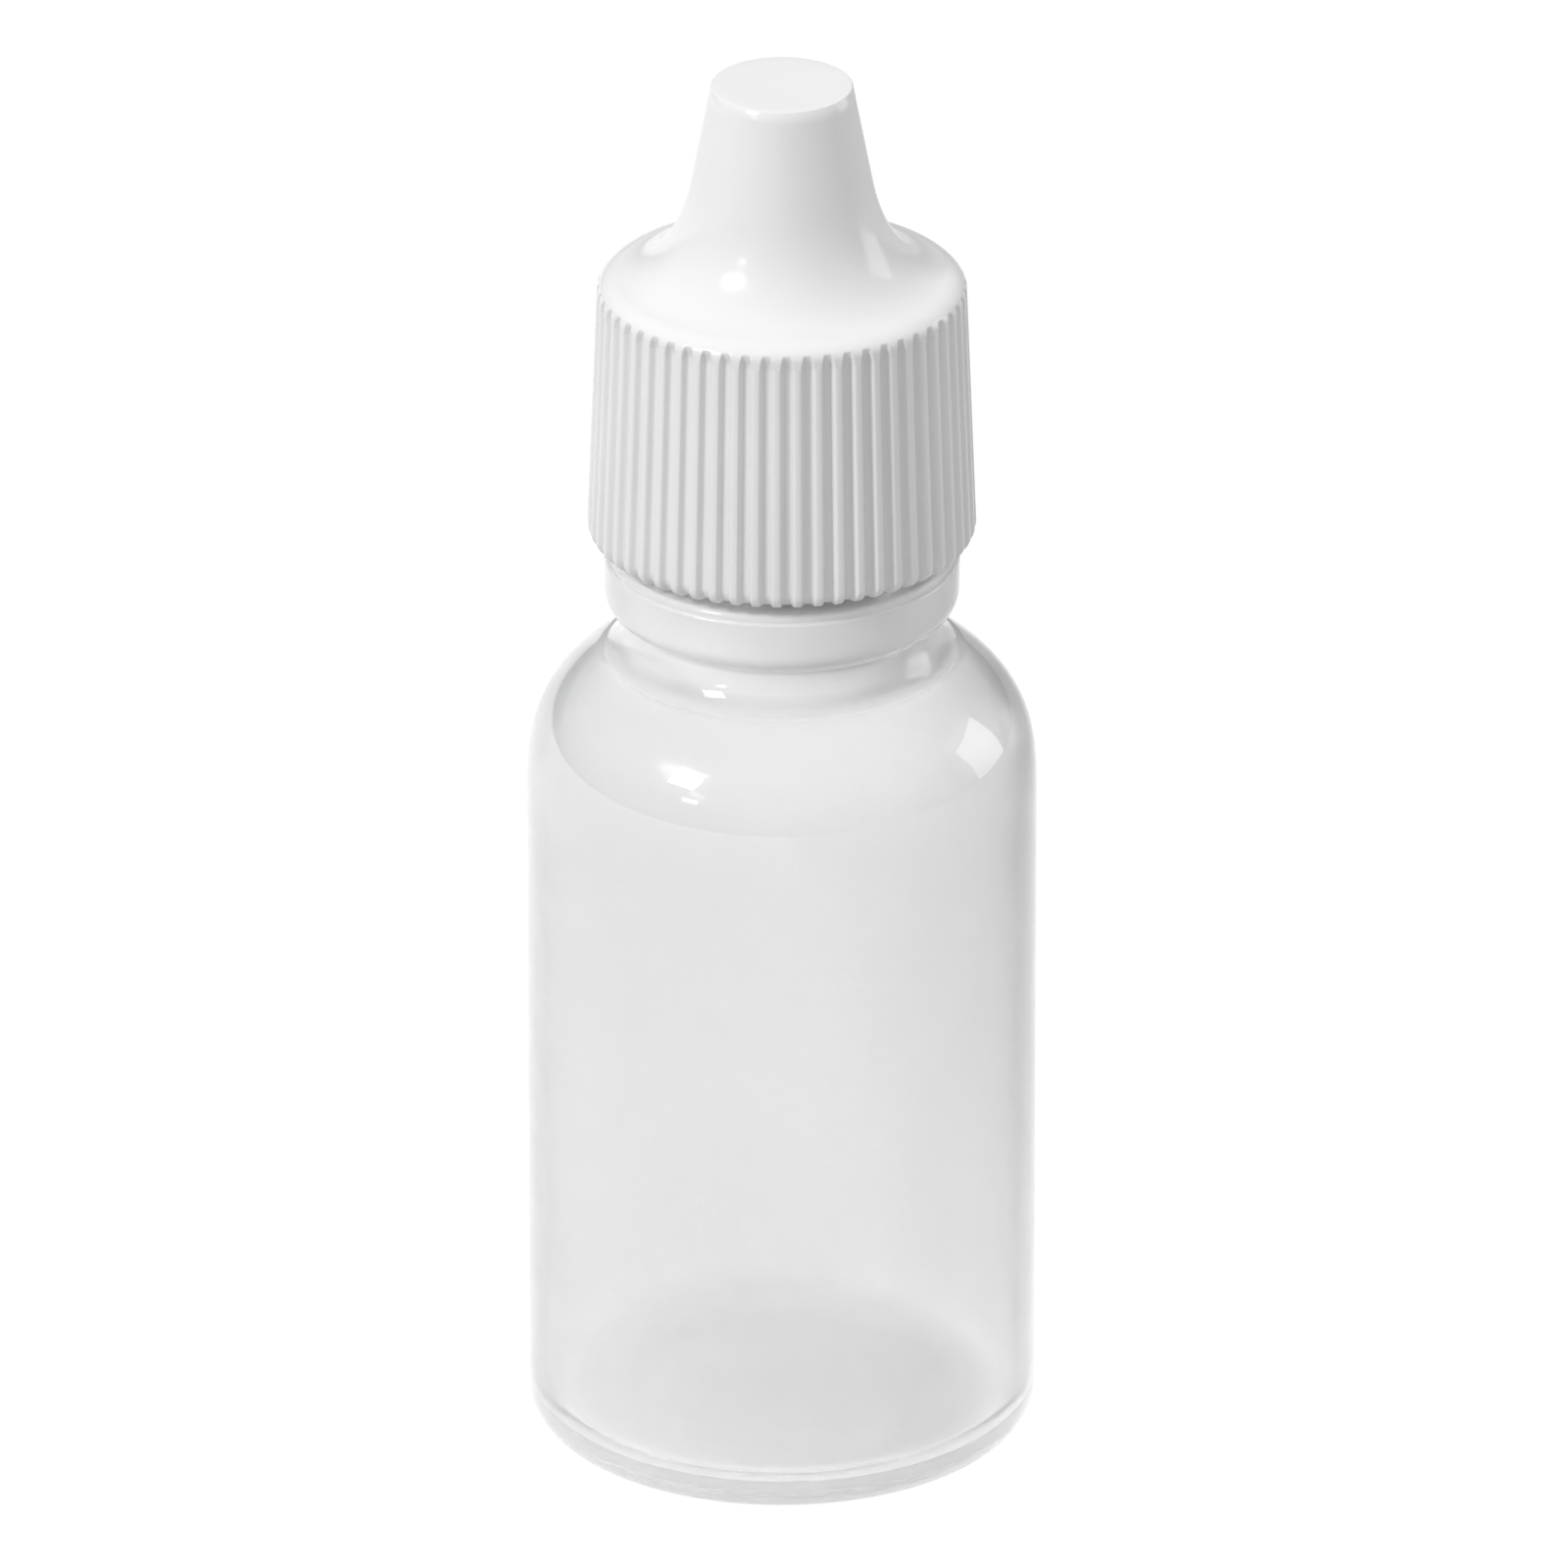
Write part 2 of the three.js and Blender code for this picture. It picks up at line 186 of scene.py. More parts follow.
def arc(centre, radii, start, end, steps):
    """Points along an elliptical arc, angles in degrees from +r towards +z."""
    angles = [math.radians(start + (end - start) * i / steps) for i in range(steps + 1)]
    return [(centre[0] + radii[0] * math.cos(a), centre[1] + radii[1] * math.sin(a)) for a in angles]


def bezier(a, b, c, d, steps):
    """Points along a cubic curve from a to d, with b and c as its handles."""
    points = []
    for i in range(steps + 1):
        t = i / steps
        s = 1 - t
        weights = (s * s * s, 3 * s * s * t, 3 * s * t * t, t * t * t)
        points.append(tuple(sum(w * p[k] for w, p in zip(weights, (a, b, c, d))) for k in (0, 1)))
    return points


def joined(*stretches):
    """One outline from several stretches, without the points they share."""
    outline = []
    for point in (p for stretch in stretches for p in stretch):
        if not outline or math.dist(point, outline[-1]) > SAME_POINT:
            outline.append(point)
    return outline


# ---------- meshes ----------

def turned(name, outline, angles, shape=None):
    """A solid of revolution. shape(angle, r, z) may move a point of the outline at an angle.

    An outline that starts and ends on the axis gets a pole at each end. Any other closes on itself.
    """
    poles = outline[0][0] == 0
    rings = outline[1:-1] if poles else outline
    around, count = len(angles), len(rings)
    vertices = []
    for r, z in rings:
        for angle in angles:
            pr, pz = shape(angle, r, z) if shape else (r, z)
            vertices.append((pr * math.cos(angle) * MM, pr * math.sin(angle) * MM, pz * MM))
    faces = []
    for ring in range(count - 1 if poles else count):
        low, high = ring * around, (ring + 1) % count * around
        for i in range(around):
            after = (i + 1) % around
            faces.append((low + i, low + after, high + after, high + i))
    if poles:
        start_pole, end_pole = len(vertices), len(vertices) + 1
        end_ring = (count - 1) * around
        vertices += [(0, 0, outline[0][1] * MM), (0, 0, outline[-1][1] * MM)]
        faces += [(start_pole, (i + 1) % around, i) for i in range(around)]
        faces += [(end_pole, end_ring + i, end_ring + (i + 1) % around) for i in range(around)]
    mesh = bpy.data.meshes.new(name)
    mesh.from_pydata(vertices, [], faces)
    mesh.polygons.foreach_set("use_smooth", [True] * len(mesh.polygons))
    mesh.set_sharp_from_angle(angle=SHARP_ANGLE)
    piece = bpy.data.objects.new(name, mesh)
    bpy.context.scene.collection.objects.link(piece)
    return piece


def even_angles(count):
    return [2 * math.pi * i / count for i in range(count)]


def smooth(t):
    """0 up to t = 0 and 1 from t = 1, with a soft step between."""
    t = min(1.0, max(0.0, t))
    return t * t * (3 - 2 * t)


def ridge(angle, z, start, turns):
    """How full a right-hand thread ridge is at a place on its wall, from 0 to 1. Its ends fade out."""
    best = 0.0
    sweep = turns * 2 * math.pi
    for turn in range(int(turns) + 1):
        along = angle % (2 * math.pi) + turn * 2 * math.pi
        if along > sweep:
            break
        across = abs(z - start - THREAD_LEAD * along / (2 * math.pi))
        flank = (RIDGE_BASE / 2 - across) / (RIDGE_BASE / 2 - RIDGE_CREST / 2)
        best = max(best, smooth(min(along, sweep - along) / THREAD_FADE) * smooth(flank))
    return best


# ---------- bottle ----------

def bottle_outline():
    inner = BODY_RADIUS - BODY_WALL
    floor = PUSH_UP + BASE_THICKNESS
    thread_low, thread_high = NECK_THREAD_ZONE
    chamfer_width, chamfer_depth = RIM_CHAMFER
    flare_width, flare_depth = BORE_FLARE
    return joined(
        bezier((0, PUSH_UP), *PUSH_UP_HANDLES, (RING_INNER_RADIUS, 0), 20),
        line((RING_INNER_RADIUS, 0), (BODY_RADIUS - BASE_CORNER, 0), 2),
        arc((BODY_RADIUS - BASE_CORNER, BASE_CORNER), (BASE_CORNER, BASE_CORNER), -90, 0, 16),
        line((BODY_RADIUS, BASE_CORNER), (BODY_RADIUS, SHOULDER_START), 24),
        bezier((BODY_RADIUS, SHOULDER_START), *SHOULDER_HANDLES, SHOULDER_END, 36),
        arc(
            (NECK_ROOT_RADIUS + NECK_ROOT_FILLET, NECK_ROOT_TOP),
            (NECK_ROOT_FILLET, NECK_ROOT_FILLET),
            *NECK_ROOT_SWEEP,
            12,
        ),
        arc(
            (NECK_ROOT_RADIUS, BEAD_BOTTOM + BEAD_ROUND),
            (BEAD_RADIUS - NECK_ROOT_RADIUS, BEAD_ROUND),
            -80,
            0,
            14,
        ),
        arc((BEAD_RADIUS - BEAD_EDGE, BEAD_STEP[1] - BEAD_EDGE), (BEAD_EDGE, BEAD_EDGE), 0, 80, 6),
        line((BEAD_STEP[0], BEAD_STEP[1] + 0.01), (BEAD_STEP[0], BEAD_TOP - BEAD_TOP_EDGE), 2),
        arc(
            (BEAD_STEP[0] - BEAD_TOP_EDGE, BEAD_TOP - BEAD_TOP_EDGE),
            (BEAD_TOP_EDGE, BEAD_TOP_EDGE),
            0,
            90,
            7,
        ),
        arc((NECK_RADIUS + RIM_EDGE, BEAD_TOP + RIM_EDGE), (RIM_EDGE, RIM_EDGE), -90, -180, 4),
        line((NECK_RADIUS, BEAD_TOP + RIM_EDGE), (NECK_RADIUS, thread_low), 3),
        line((NECK_RADIUS, thread_low), (NECK_RADIUS, thread_high), 90),
        line((NECK_RADIUS, thread_high), (NECK_RADIUS, RIM_TOP - RIM_EDGE)),
        arc((NECK_RADIUS - RIM_EDGE, RIM_TOP - RIM_EDGE), (RIM_EDGE, RIM_EDGE), 0, 90, 5),
        line((BORE_RADIUS + chamfer_width, RIM_TOP), (BORE_RADIUS, RIM_TOP - chamfer_depth), 2),
        line((BORE_RADIUS, RIM_TOP - chamfer_depth), (BORE_RADIUS, BORE_BOTTOM), 8),
        bezier(
            (BORE_RADIUS, BORE_BOTTOM),
            (BORE_RADIUS, BORE_BOTTOM - flare_depth),
            (BORE_RADIUS + flare_width, BORE_BOTTOM - flare_depth),
            SHOULDER_INSIDE,
            14,
        ),
        bezier(
            SHOULDER_INSIDE,
            (inner - 0.6, SHOULDER_HANDLES[1][1] + 0.11),
            (inner, SHOULDER_HANDLES[0][1] + 0.18),
            (inner, SHOULDER_START),
            24,
        ),
        line((inner, SHOULDER_START), (inner, BASE_THICKNESS + INNER_CORNER), 20),
        arc(
            (inner - INNER_CORNER, BASE_THICKNESS + INNER_CORNER),
            (INNER_CORNER, INNER_CORNER),
            0,
            -90,
            12,
        ),
        bezier(
            (inner - INNER_CORNER, BASE_THICKNESS),
            (8, BASE_THICKNESS + 0.05),
            (5, floor),
            (0, floor),
            20,
        ),
    )


def neck_thread(angle, r, z):
    """The thread on the neck's wall."""
    if abs(r - NECK_RADIUS) > ON_WALL:
        return r, z
    fullness = ridge(angle, z, NECK_THREAD_START, NECK_THREAD_TURNS)
    return r + (NECK_THREAD_RADIUS - NECK_RADIUS) * fullness, z


# ---------- dropper tip ----------

def tip_outline():
    flange_bottom = RIM_TOP + GAP
    flange_top = flange_bottom + FLANGE_THICKNESS
    lower_edge, upper_edge = FLANGE_EDGES
    sink_radius, sink_depth = COUNTERSINK
    mouth_width, mouth_depth = PLUG_MOUTH
    lip = (NOZZLE_TOP_RADIUS + 0.02, NOZZLE_TOP - NOZZLE_LIP)
    seals = []
    for z in SEAL_HEIGHTS:
        for side in (-1, 1):
            half = bezier(
                (PLUG_RADIUS, z + side * SEAL_HALF_HEIGHT),
                (PLUG_RADIUS, z + side * 0.2),
                (SEAL_RADIUS, z + side * 0.22),
                (SEAL_RADIUS, z),
                5,
            )
            seals.append(half if side < 0 else half[::-1])
    return joined(
        bezier(
            (PLUG_RADIUS - 0.35, PLUG_BOTTOM),
            (PLUG_RADIUS - 0.2, PLUG_BOTTOM),
            (PLUG_RADIUS, PLUG_BOTTOM + 0.6),
            (PLUG_RADIUS, PLUG_BOTTOM + 1),
            6,
        ),
        *seals,
        line(
            (PLUG_RADIUS, SEAL_HEIGHTS[-1] + SEAL_HALF_HEIGHT),
            (PLUG_RADIUS, flange_bottom - FLANGE_ROOT),
            2,
        ),
        bezier(
            (PLUG_RADIUS, flange_bottom - FLANGE_ROOT),
            (PLUG_RADIUS, flange_bottom - 0.1),
            (PLUG_RADIUS + 0.02, flange_bottom),
            (PLUG_RADIUS + 0.15, flange_bottom),
            4,
        ),
        arc((FLANGE_RADIUS - lower_edge, flange_bottom + lower_edge), (lower_edge, lower_edge), -90, 0, 4),
        arc((FLANGE_RADIUS - upper_edge, flange_top - upper_edge), (upper_edge, upper_edge), 0, 90, 5),
        bezier((4.0, flange_top), (3.5, flange_top), (3.4, 60.5), NOZZLE_BASE, 8),
        line(NOZZLE_BASE, lip, 8),
        bezier(
            lip,
            (NOZZLE_TOP_RADIUS - 0.03, NOZZLE_TOP - 0.12),
            (NOZZLE_TOP_RADIUS - 0.15, NOZZLE_TOP),
            (NOZZLE_TOP_RADIUS - 0.4, NOZZLE_TOP),
            6,
        ),
        bezier(
            (sink_radius, NOZZLE_TOP),
            (0.7, NOZZLE_TOP - 0.05),
            (ORIFICE_RADIUS, NOZZLE_TOP - 0.25),
            (ORIFICE_RADIUS, NOZZLE_TOP - sink_depth),
            6,
        ),
        line((ORIFICE_RADIUS, NOZZLE_TOP - sink_depth), (ORIFICE_RADIUS, ORIFICE_BOTTOM), 2),
        line((ORIFICE_RADIUS, ORIFICE_BOTTOM), NOZZLE_BORE_BASE, 5),
        bezier(NOZZLE_BORE_BASE, (2.3, 59.9), (PLUG_BORE, 60.2), (PLUG_BORE, PLUG_BORE_TOP), 8),
        line((PLUG_BORE, PLUG_BORE_TOP), (PLUG_BORE, PLUG_BOTTOM + mouth_depth), 6),
        bezier(
            (PLUG_BORE, PLUG_BOTTOM + mouth_depth),
            (PLUG_BORE, PLUG_BOTTOM + 0.1),
            (PLUG_BORE + 0.1, PLUG_BOTTOM),
            (PLUG_BORE + mouth_width, PLUG_BOTTOM),
            4,
        ),
    )


# ---------- screw cap ----------

def cap_outline():
    lean = (SPIRE_BASE[0] - SPIRE_TOP_RADIUS) / (CAP_TOP - SPIRE_BASE[1])
    draft = (SKIRT_BOTTOM_RADIUS - SKIRT_TOP[0]) / (SKIRT_TOP[1] - CAP_BOTTOM - SKIRT_EDGE)
    taper = math.atan(lean)
    dome = math.radians(CAP_DOME_SLOPE)
    turn = math.degrees(math.atan2(CAP_SHOULDER[1], CAP_SHOULDER[0] * math.tan(dome)))
    shoulder = arc((SKIRT_TOP[0] - CAP_SHOULDER[0], SKIRT_TOP[1]), CAP_SHOULDER, 0, turn, 22)
    crown = shoulder[-1]
    fade_start = (SKIRT_TOP[0] + draft * (SKIRT_TOP[1] - RIB_FADE[0]), RIB_FADE[0])
    pin_end = NOZZLE_TOP - PIN_REACH
    pin_flat = (PIN_FLAT_RADIUS, pin_end)
    pin_side = (PIN_RADIUS, pin_end + PIN_TIP_HEIGHT)
    thread_low, thread_high = CAP_THREAD_ZONE
    mouth = CAP_MOUTH_EDGE
    return joined(
        line((0, pin_end), pin_flat),
        bezier(pin_flat, (0.27, pin_end), (PIN_RADIUS, pin_end + 0.05), pin_side, 4),
        line(pin_side, PIN_WAIST, 2),
        line(PIN_WAIST, (PIN_ROOT_RADIUS, SPIRE_CEILING), 4),
        bezier(
            (CHAMBER[2][0] - 0.3, SPIRE_CEILING),
            (CHAMBER[2][0] - 0.1, SPIRE_CEILING),
            (CHAMBER[2][0] - 0.03, SPIRE_CEILING - 0.1),
            CHAMBER[2],
            5,
        ),
        line(CHAMBER[2], CHAMBER[1], 3),
        line(CHAMBER[1], CHAMBER[0], 4),
        bezier(CHAMBER[0], (4.05, 61.3), (4.2, CAP_CEILING), (CHAMBER_MOUTH_RADIUS, CAP_CEILING), 8),
        arc(
            (CAP_BORE - CEILING_EDGE, CAP_CEILING - CEILING_EDGE),
            (CEILING_EDGE, CEILING_EDGE),
            90,
            0,
            6,
        ),
        line((CAP_BORE, CAP_CEILING - CEILING_EDGE), (CAP_BORE, thread_high), 3),
        line((CAP_BORE, thread_high), (CAP_BORE, thread_low), 80),
        line((CAP_BORE, thread_low), (CAP_BORE, CAP_BOTTOM + mouth), 4),
        arc((CAP_BORE + mouth, CAP_BOTTOM + mouth), (mouth, mouth), 180, 270, 5),
        arc(
            (SKIRT_BOTTOM_RADIUS - SKIRT_EDGE, CAP_BOTTOM + SKIRT_EDGE),
            (SKIRT_EDGE, SKIRT_EDGE),
            -90,
            0,
            12,
        ),
        line((SKIRT_BOTTOM_RADIUS, CAP_BOTTOM + SKIRT_EDGE), fade_start, 8),
        line(fade_start, SKIRT_TOP, 10),
        shoulder,
        bezier(
            crown,
            (crown[0] - CAP_DOME_REACH * math.cos(dome), crown[1] + CAP_DOME_REACH * math.sin(dome)),
            (SPIRE_BASE[0] + SPIRE_BLEND * math.sin(taper), SPIRE_BASE[1] - SPIRE_BLEND * math.cos(taper)),
            SPIRE_BASE,
            36,
        ),
        line(SPIRE_BASE, (SPIRE_TOP_RADIUS + SPIRE_EDGE * lean, CAP_TOP - SPIRE_EDGE), 8),
        arc((SPIRE_TOP_RADIUS - SPIRE_EDGE, CAP_TOP - SPIRE_EDGE), (SPIRE_EDGE, SPIRE_EDGE), 8, 90, 7),
        line((SPIRE_TOP_RADIUS - SPIRE_EDGE, CAP_TOP), (0, CAP_TOP), 5),
    )


def rib_angles():
    """For each rib, angles on its crest, its flanks and the groove beside it."""
    return [FRONT_RIB + (rib + place) * 2 * math.pi / RIBS for rib in range(RIBS) for place in RIB_PLACES]


def cap_shape(angle, r, z):
    """Grooves between the ribs outside, run out in arches at the shoulder, and the thread inside."""
    if abs(r - CAP_BORE) < ON_WALL:
        fullness = ridge(angle, z, NECK_THREAD_START - CAP_THREAD_DROP, CAP_THREAD_TURNS)
        return r - (CAP_BORE - CAP_THREAD_RADIUS) * fullness, z
    if r < CAP_OUTSIDE or z > RIB_FADE[1]:
        return r, z
    place = (angle - FRONT_RIB) * RIBS / (2 * math.pi) % 1
    section = smooth((min(place, 1 - place) - RIB_CREST) / RIB_FLANK)
    rise = max(0.0, (z - RIB_FADE[0]) / (RIB_FADE[1] - RIB_FADE[0]))
    return r - max(0.0, RIB_DEPTH * (section - rise * rise)), z


# ---------- materials ----------

# PLATE_*: a painted shade disc on the hollow's floor and the foot of its back wall, darker and less clear
# there
PLATE_CENTRE = 0.7
PLATE_RADIUS = 10.55
PLATE_BLEND = (0.95, 1.03)
PLATE_HEIGHTS = (0.7, 1.0, 2.4, 3.0)
PLATE_CLEAR = 0.8
PLATE_PAINTED_SHADE = 0.62
WALL_CLOUDS = (90, 4.0, (1, 1, 0.45))
WALL_GRAIN = (900, 2.0)
WALL_RIPPLE = (260, 2.0, (1, 1, 0.5))
WALL_RIPPLE_DEPTH = (0.25, 0.00003)
WALL_LETS_THROUGH = (0.93, 0.93, 0.93)
CAP_CLOUDS = (140, 3.0)
CAP_COLOUR = ((0.8, 0.8, 0.803), (0.83, 0.83, 0.83))
CAP_GRAIN = (1400, 2.0)
CAP_ROUGHNESS = (0.13, 0.19)
CAP_RIPPLE = (500, 2.0)
CAP_RIPPLE_DEPTH = (0.15, 0.00002)


def plastic(name, **sockets):
    """A material with a Principled shader, and the means to add nodes to it."""
    material = bpy.data.materials.new(name)
    material.use_nodes = True
    nodes = material.node_tree.nodes
    shader = nodes["Principled BSDF"]
    for socket, value in sockets.items():
        shader.inputs[socket.replace("_", " ").title().replace("Ior", "IOR")].default_value = value
    return material, nodes, material.node_tree.links, shader


def noise(nodes, links, scale, detail, stretch=(1, 1, 1)):
    """Noise over the object's own coordinates, in metres, so scale is in features per metre."""
    place = nodes.new("ShaderNodeTexCoord")
    mapping = nodes.new("ShaderNodeMapping")
    mapping.inputs["Scale"].default_value = stretch
    texture = nodes.new("ShaderNodeTexNoise")
    texture.inputs["Scale"].default_value = scale
    texture.inputs["Detail"].default_value = detail
    links.new(place.outputs["Object"], mapping.inputs["Vector"])
    links.new(mapping.outputs["Vector"], texture.inputs["Vector"])
    return texture.outputs["Fac"]


def spread(nodes, links, value, low, high, start=0.3, end=0.7):
    """value mapped from start..end to low..high."""
    node = nodes.new("ShaderNodeMapRange")
    node.inputs["From Min"].default_value = start
    node.inputs["From Max"].default_value = end
    node.inputs["To Min"].default_value = low
    node.inputs["To Max"].default_value = high
    links.new(value, node.inputs["Value"])
    return node.outputs["Result"]


def blended(nodes, links, value, low, high, start=0.3, end=0.7):
    """A colour between low and high."""
    ramp = nodes.new("ShaderNodeValToRGB")
    ramp.color_ramp.elements[0].position = start
    ramp.color_ramp.elements[0].color = (*low, 1)
    ramp.color_ramp.elements[1].position = end
    ramp.color_ramp.elements[1].color = (*high, 1)
    links.new(value, ramp.inputs["Fac"])
    return ramp.outputs["Color"]


def bumped(nodes, links, shader, height, strength, distance):
    """Small unevenness of the surface, which follows height."""
    bump = nodes.new("ShaderNodeBump")
    bump.inputs["Strength"].default_value = strength
    bump.inputs["Distance"].default_value = distance
    links.new(height, bump.inputs["Height"])
    links.new(bump.outputs["Normal"], shader.inputs["Normal"])


def lets_light_through(nodes, links, shader, tint):
    """Light passes a clear wall to what is behind it, which a refracting shader alone leaves dark."""
    path = nodes.new("ShaderNodeLightPath")
    open_wall = nodes.new("ShaderNodeBsdfTransparent")
    open_wall.inputs["Color"].default_value = (*tint, 1)
    either = nodes.new("ShaderNodeMixShader")
    links.new(path.outputs["Is Shadow Ray"], either.inputs["Fac"])
    links.new(shader.outputs["BSDF"], either.inputs[1])
    links.new(open_wall.outputs["BSDF"], either.inputs[2])
    links.new(either.outputs["Shader"], nodes["Material Output"].inputs["Surface"])


def mixed(nodes, links, factor, value, constant):
    """value where the factor is 0 and the constant where it is 1."""
    node = nodes.new("ShaderNodeMix")
    links.new(factor, node.inputs[0])
    links.new(value, node.inputs[2])
    node.inputs[3].default_value = constant
    return node.outputs[0]


def combined(nodes, links, operation, one, other):
    """Two numbers put together by an operation of the Math node."""
    node = nodes.new("ShaderNodeMath")
    node.operation = operation
    links.new(one, node.inputs[0])
    links.new(other, node.inputs[1])
    return node.outputs["Value"]


def by_height(nodes, links, stops):
    """A value that follows the height on the piece. stops lists (height in mm, value) from the base up."""
    place = nodes.new("ShaderNodeTexCoord")
    height = nodes.new("ShaderNodeSeparateXYZ")
    links.new(place.outputs["Object"], height.inputs["Vector"])
    ramp = nodes.new("ShaderNodeValToRGB")
    elements = ramp.color_ramp.elements
    while len(elements) < len(stops):
        elements.new(0.5)
    for element, (z, value) in zip(elements, stops):
        element.position = z * MM / cad_high[2]
        element.color = (value, value, value, 1)
    links.new(spread(nodes, links, height.outputs["Z"], 0, 1, 0, cad_high[2]), ramp.inputs["Fac"])
    return ramp.outputs["Color"]


def beyond_painted_shade_disc(nodes, links, inside):
    """1 on the walls and a lower value, inside, on the hollow's floor and the foot of its back wall.

    The darker disc is painted shade, and its centre is set back from the axis, away from the camera.
    """
    place = nodes.new("ShaderNodeTexCoord")
    reach = nodes.new("ShaderNodeMapping")
    reach.inputs["Location"].default_value = (0, -PLATE_CENTRE / PLATE_RADIUS, 0)
    reach.inputs["Scale"].default_value = (1 / (PLATE_RADIUS * MM), 1 / (PLATE_RADIUS * MM), 0)
    links.new(place.outputs["Object"], reach.inputs["Vector"])
    away = nodes.new("ShaderNodeVectorMath")
    away.operation = "LENGTH"
    links.new(reach.outputs["Vector"], away.inputs[0])
    below, low, high, above = PLATE_HEIGHTS
    aside = spread(nodes, links, away.outputs["Value"], inside, 1, *PLATE_BLEND)
    clear_of = by_height(nodes, links, ((below, 1), (low, inside), (high, inside), (above, 1)))
    return combined(nodes, links, "MAXIMUM", aside, clear_of)


def times(nodes, links, one, other):
    """The product of two colours."""
    product = nodes.new("ShaderNodeMix")
    product.data_type = "RGBA"
    product.blend_type = "MULTIPLY"
    product.inputs[0].default_value = 1
    links.new(one, product.inputs[6])
    links.new(other, product.inputs[7])
    return product.outputs[2]


def natural_polyethylene(name, colour, tint, clear, roughness):
    """Milky, and glossy outside, with a colour where its clouds are thin and one where they are thick.

    tint and clear list (height in mm, value), painted on by height; tint carries painted light, on the
    bottle lighter at the base corner and on the neck than on the body's wall.
    """
    material, nodes, links, shader = plastic(
        name,
        ior=1.51,
        specular_ior_level=0.1,
        coat_weight=0.9,
        coat_roughness=0.03,
        coat_ior=1.5,
    )
    shader.inputs["Specular Tint"].default_value = (0.1, 0.1, 0.1, 1)
    thin, thick = colour
    clouds = blended(nodes, links, noise(nodes, links, *WALL_CLOUDS), thick, thin)
    # painted light: the colour made lighter or darker by height, through tint
    clouds_and_painted_light = times(nodes, links, clouds, by_height(nodes, links, tint))
    # painted shade: a darker disc on the hollow's floor and the foot of its back wall
    shaded = times(nodes, links, clouds_and_painted_light, beyond_painted_shade_disc(nodes, links, PLATE_PAINTED_SHADE))
    clear_by_height = by_height(nodes, links, clear)
    clearness = times(nodes, links, clear_by_height, beyond_painted_shade_disc(nodes, links, PLATE_CLEAR))
    links.new(shaded, shader.inputs["Base Color"])
    links.new(clearness, shader.inputs["Transmission Weight"])
    grain = noise(nodes, links, *WALL_GRAIN)
    links.new(spread(nodes, links, grain, *roughness), shader.inputs["Roughness"])
    bumped(nodes, links, shader, noise(nodes, links, *WALL_RIPPLE), *WALL_RIPPLE_DEPTH)
    lets_light_through(nodes, links, shader, WALL_LETS_THROUGH)
    return material


def white_polypropylene():
    material, nodes, links, shader = plastic("white_polypropylene", ior=1.49, subsurface_weight=0.08)
    shader.inputs["Subsurface Radius"].default_value = (1.0, 0.95, 0.9)
    shader.inputs["Subsurface Scale"].default_value = 0.0002
    clouds = noise(nodes, links, *CAP_CLOUDS)
    grain = noise(nodes, links, *CAP_GRAIN)
    links.new(blended(nodes, links, clouds, *CAP_COLOUR), shader.inputs["Base Color"])
    links.new(spread(nodes, links, grain, *CAP_ROUGHNESS), shader.inputs["Roughness"])
    bumped(nodes, links, shader, noise(nodes, links, *CAP_RIPPLE), *CAP_RIPPLE_DEPTH)
    return material


# ---------- pieces ----------

def placed(piece, material, body, node):
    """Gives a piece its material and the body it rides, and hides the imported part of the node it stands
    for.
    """
    piece.data.materials.append(material)
    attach(piece, body)
    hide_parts(node)


bottle_plastic = natural_polyethylene(
    "natural_polyethylene",
    colour=((0.97, 0.97, 0.973), (0.945, 0.945, 0.95)),
    # tint: painted light, lighter at the base corner and on the neck than on the body's wall
    tint=((1.0, 1.03), (1.8, 0.9), (40.6, 0.9), (41.8, 1.0)),
    clear=((0.7, 0.4), (1.5, 0.84), (41.0, 0.84), (42.3, 0.3)),
    roughness=(0.14, 0.2),
)
tip_plastic = natural_polyethylene(
    "tip_polyethylene",
    colour=((0.96, 0.96, 0.96), (0.93, 0.93, 0.935)),
    tint=((49, 1.0), (70, 1.0)),
    clear=((49, 0.5), (70, 0.55)),
    roughness=(0.2, 0.28),
)

bottle = turned("bottle_shell", bottle_outline(), even_angles(BOTTLE_AROUND), neck_thread)
placed(bottle, bottle_plastic, "bottle", "bottle")
tip = turned("dropper_tip_insert", tip_outline(), even_angles(TIP_AROUND))
placed(tip, tip_plastic, "dropper_tip", "dropper_tip")
cap = turned("ribbed_cap", cap_outline(), rib_angles(), cap_shape)
placed(cap, white_polypropylene(), "screw_cap", "screw_cap")


# ---------- stage, lights and camera ----------

FLOOR_HALF = 6.0
FLOOR_GAP = 0.03
FLOOR_SEEN = 0.93
FLOOR_BEHIND = 0.94
# painted shade: the floor, as seen through and in the plastic, fades to this on the right
FLOOR_RIGHT_PAINTED_SHADE = 0.45
FLOOR_FADE = (0.014, 0.07)
FLOOR_BOUNCE = 0.4
PAPER_GRAIN = (40, 2.0)
PAPER_COLOUR = ((0.09, 0.09, 0.09), (0.11, 0.11, 0.11))

DOME_STRENGTH = (0.2, 1.13)
BACKDROP_STRENGTH = (1.08, 0.5)

LIGHT_DISTANCE = 0.8
# name, azimuth and elevation in degrees, width and height in metres, power in watts
LIGHTS = (
    ("key", -53, 38, 0.17, 0.13, 2.8),
    ("key_low", -44, 23, 0.1, 0.05, 0.12),
    ("right_back", 110, 14, 0.32, 0.38, 0.75),
)

AIM = Vector((0.0001, 0, 0.0339))
CAMERA_ELEVATION = 24.92
CAMERA_DISTANCE = 1.321
CAMERA_LENS = 618.4
CAMERA_SENSOR = 36.0


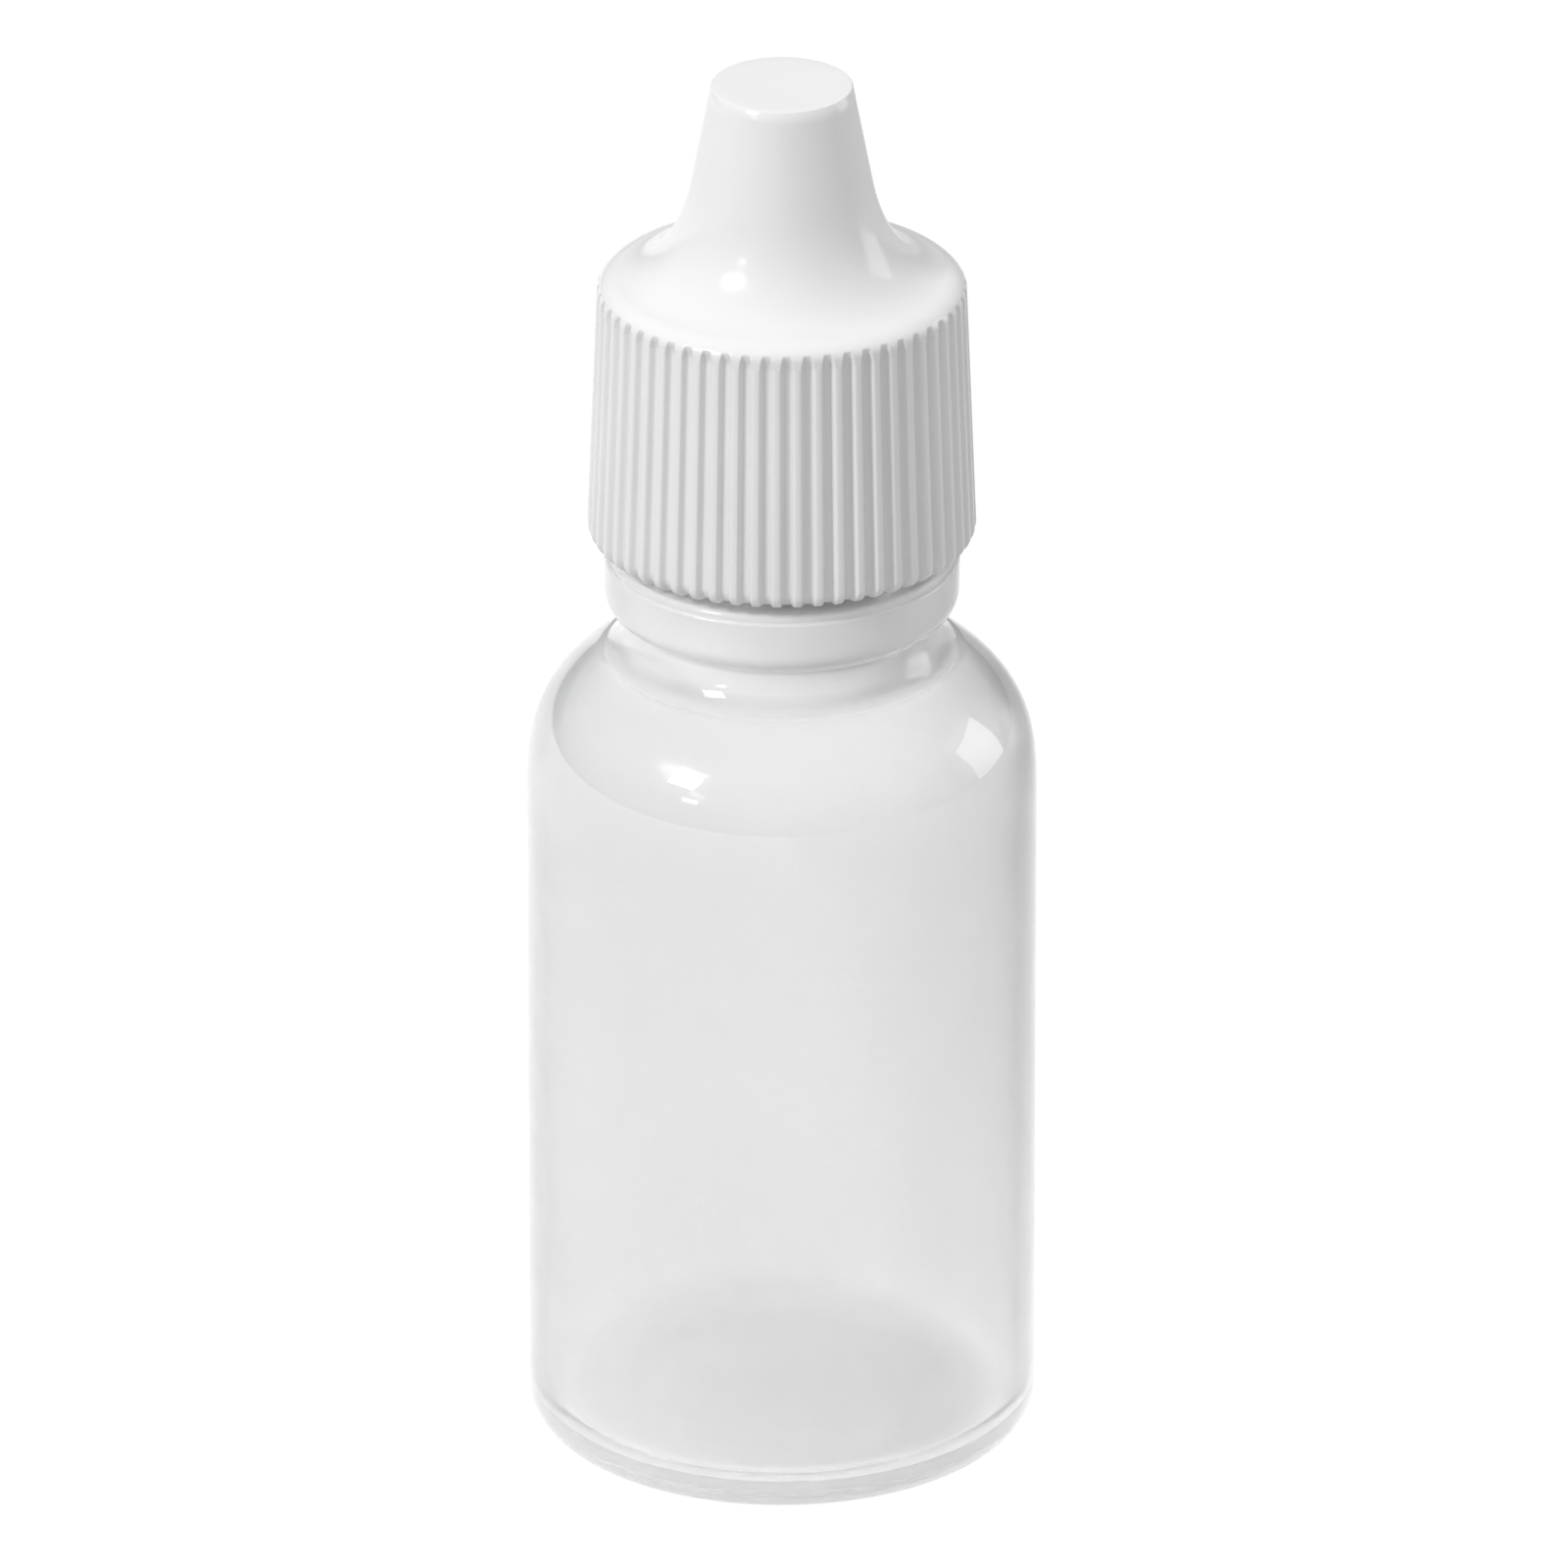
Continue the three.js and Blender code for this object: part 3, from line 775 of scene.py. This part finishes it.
def towards(azimuth, elevation):
    """The direction of a place seen from the bottle. Azimuth 0 is -Y and grows towards +X."""
    a, e = math.radians(azimuth), math.radians(elevation)
    return Vector((math.sin(a) * math.cos(e), -math.cos(a) * math.cos(e), math.sin(e)))


def aimed(thing, target):
    """Turns a lamp or the camera to face the target."""
    thing.rotation_euler = (target - thing.location).to_track_quat("-Z", "Y").to_euler()


def softbox(name, azimuth, elevation, width, height, power):
    """A rectangular lamp that faces the bottle and isn't seen by the camera."""
    light = bpy.data.lights.new(name, "AREA")
    light.shape = "RECTANGLE"
    light.size = width
    light.size_y = height
    light.energy = power
    lamp = bpy.data.objects.new(name, light)
    lamp.location = AIM + towards(azimuth, elevation) * LIGHT_DISTANCE
    aimed(lamp, AIM)
    lamp.visible_camera = False
    bpy.context.scene.collection.objects.link(lamp)


def stage():
    """A white floor that glows by kind of ray: as the camera sees it, as other rays see it, as bounced.

    It is a hair below z = 0, so that it doesn't share a plane with the standing ring.
    """
    floor = bpy.data.meshes.new("floor")
    half = FLOOR_HALF
    z = -FLOOR_GAP * MM
    corners = [(-half, -half, z), (half, -half, z), (half, half, z), (-half, half, z)]
    floor.from_pydata(corners, [], [(0, 1, 2, 3)])
    ground = bpy.data.objects.new("floor", floor)
    bpy.context.scene.collection.objects.link(ground)
    material, nodes, links, shader = plastic("studio_white", roughness=0.9, specular_ior_level=0.1)
    paper = noise(nodes, links, *PAPER_GRAIN)
    path = nodes.new("ShaderNodeLightPath")
    links.new(blended(nodes, links, paper, *PAPER_COLOUR), shader.inputs["Base Color"])
    place = nodes.new("ShaderNodeTexCoord")
    sides = nodes.new("ShaderNodeSeparateXYZ")
    links.new(place.outputs["Object"], sides.inputs["Vector"])
    # painted shade: seen through and in the plastic, the floor darkens to the right, which darkens the
    # bottle's right edge
    behind = spread(nodes, links, sides.outputs["X"], FLOOR_BEHIND, FLOOR_RIGHT_PAINTED_SHADE, *FLOOR_FADE)
    lit = mixed(nodes, links, path.outputs["Is Diffuse Ray"], behind, FLOOR_BOUNCE)
    glow = mixed(nodes, links, path.outputs["Is Camera Ray"], lit, FLOOR_SEEN)
    shader.inputs["Emission Color"].default_value = (1, 1, 1, 1)
    links.new(glow, shader.inputs["Emission Strength"])
    material.cycles.emission_sampling = "NONE"
    floor.materials.append(material)


def studio_world():
    """A dome brighter above, a backdrop brighter on the left for rays through plastic, and white behind."""
    world = bpy.data.worlds.new("studio")
    bpy.context.scene.world = world
    world.use_nodes = True
    nodes, links = world.node_tree.nodes, world.node_tree.links
    sky = nodes["Background"]
    sky.inputs["Color"].default_value = (1, 1, 1, 1)
    place = nodes.new("ShaderNodeTexCoord")
    direction = nodes.new("ShaderNodeSeparateXYZ")
    links.new(place.outputs["Generated"], direction.inputs["Vector"])
    path = nodes.new("ShaderNodeLightPath")
    through = spread(nodes, links, path.outputs["Transmission Depth"], 0, 1, 0, 1)
    sideways = spread(nodes, links, direction.outputs["X"], *BACKDROP_STRENGTH, 0, 1)
    backdrop = combined(nodes, links, "MULTIPLY", through, sideways)
    dome = spread(nodes, links, direction.outputs["Z"], *DOME_STRENGTH, 0, 1)
    lit = combined(nodes, links, "MAXIMUM", dome, backdrop)
    seen = combined(nodes, links, "MAXIMUM", lit, path.outputs["Is Camera Ray"])
    links.new(seen, sky.inputs["Strength"])


def camera():
    """The reference view."""
    lens = bpy.data.cameras.new("camera")
    lens.lens = CAMERA_LENS
    lens.sensor_width = CAMERA_SENSOR
    eye = bpy.data.objects.new("camera", lens)
    eye.location = AIM + towards(0, CAMERA_ELEVATION) * CAMERA_DISTANCE
    aimed(eye, AIM)
    bpy.context.scene.collection.objects.link(eye)
    bpy.context.scene.camera = eye


stage()
studio_world()
for light in LIGHTS:
    softbox(*light)
camera()

bpy.context.scene.view_settings.view_transform = "Standard"
bpy.context.scene.cycles.use_denoising = True
